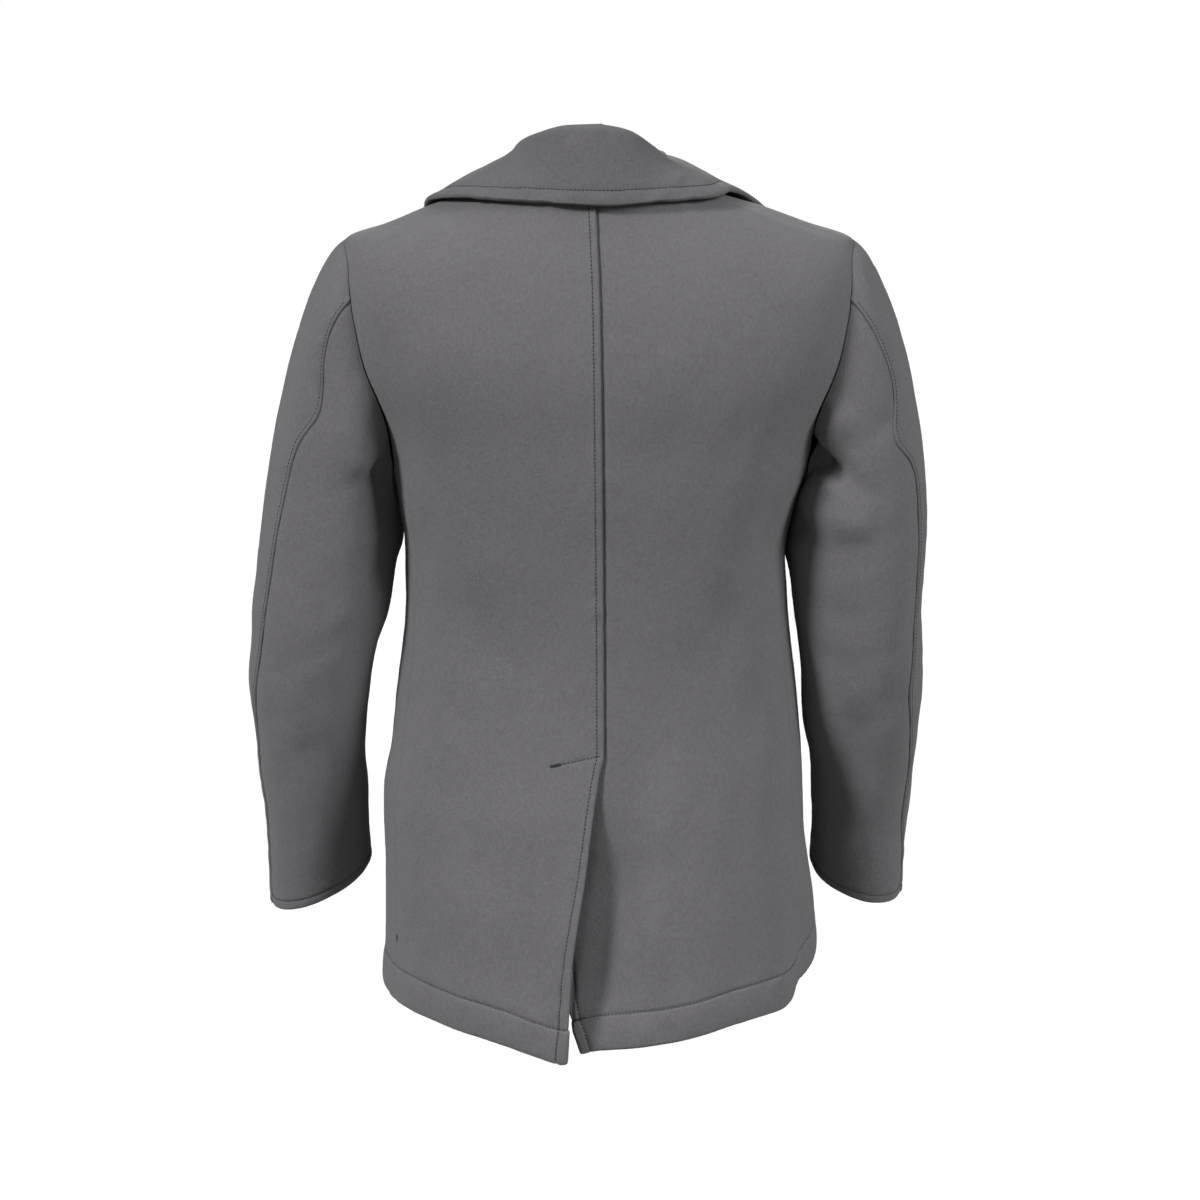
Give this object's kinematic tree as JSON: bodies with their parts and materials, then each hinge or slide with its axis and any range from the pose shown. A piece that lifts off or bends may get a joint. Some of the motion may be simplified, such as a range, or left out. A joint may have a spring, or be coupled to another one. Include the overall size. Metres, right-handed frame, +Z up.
{
  "type": "pea coat",
  "caption": "Hip-length double-breasted heavy wool coat in its worn shape, with a wide turned-down collar, broad lapels, set-in sleeves and a centre back vent.",
  "frame": {"origin": "middle of the neck opening, level with the collar seam at the centre back, where the wearer's shoulders carry the coat", "axes": "+Z up, +Y towards the wearer's back, +X towards the wearer's left"},
  "size_m": [0.6106, 0.304, 0.8116],
  "materials": {
    "melton": "mid to dark grey heavy wool melton, felted and matte with a faint fleck",
    "buttons": "dark grey, smooth, softly polished, with a sunk middle and sewn-on thread"
  },
  "bodies": {
    "root": {"back_left": "melton", "back_right": "melton", "front_left": "melton", "front_right": "melton", "sleeve_top_left": "melton", "sleeve_under_left": "melton", "sleeve_top_right": "melton", "sleeve_under_right": "melton", "collar": "melton", "lapel_left": "melton", "lapel_right": "melton", "button_1_left": "buttons", "button_1_right": "buttons", "button_2_left": "buttons", "button_2_right": "buttons", "button_3_left": "buttons", "button_3_right": "buttons", "button_4_left": "buttons", "button_4_right": "buttons"}
  },
  "joints": []
}
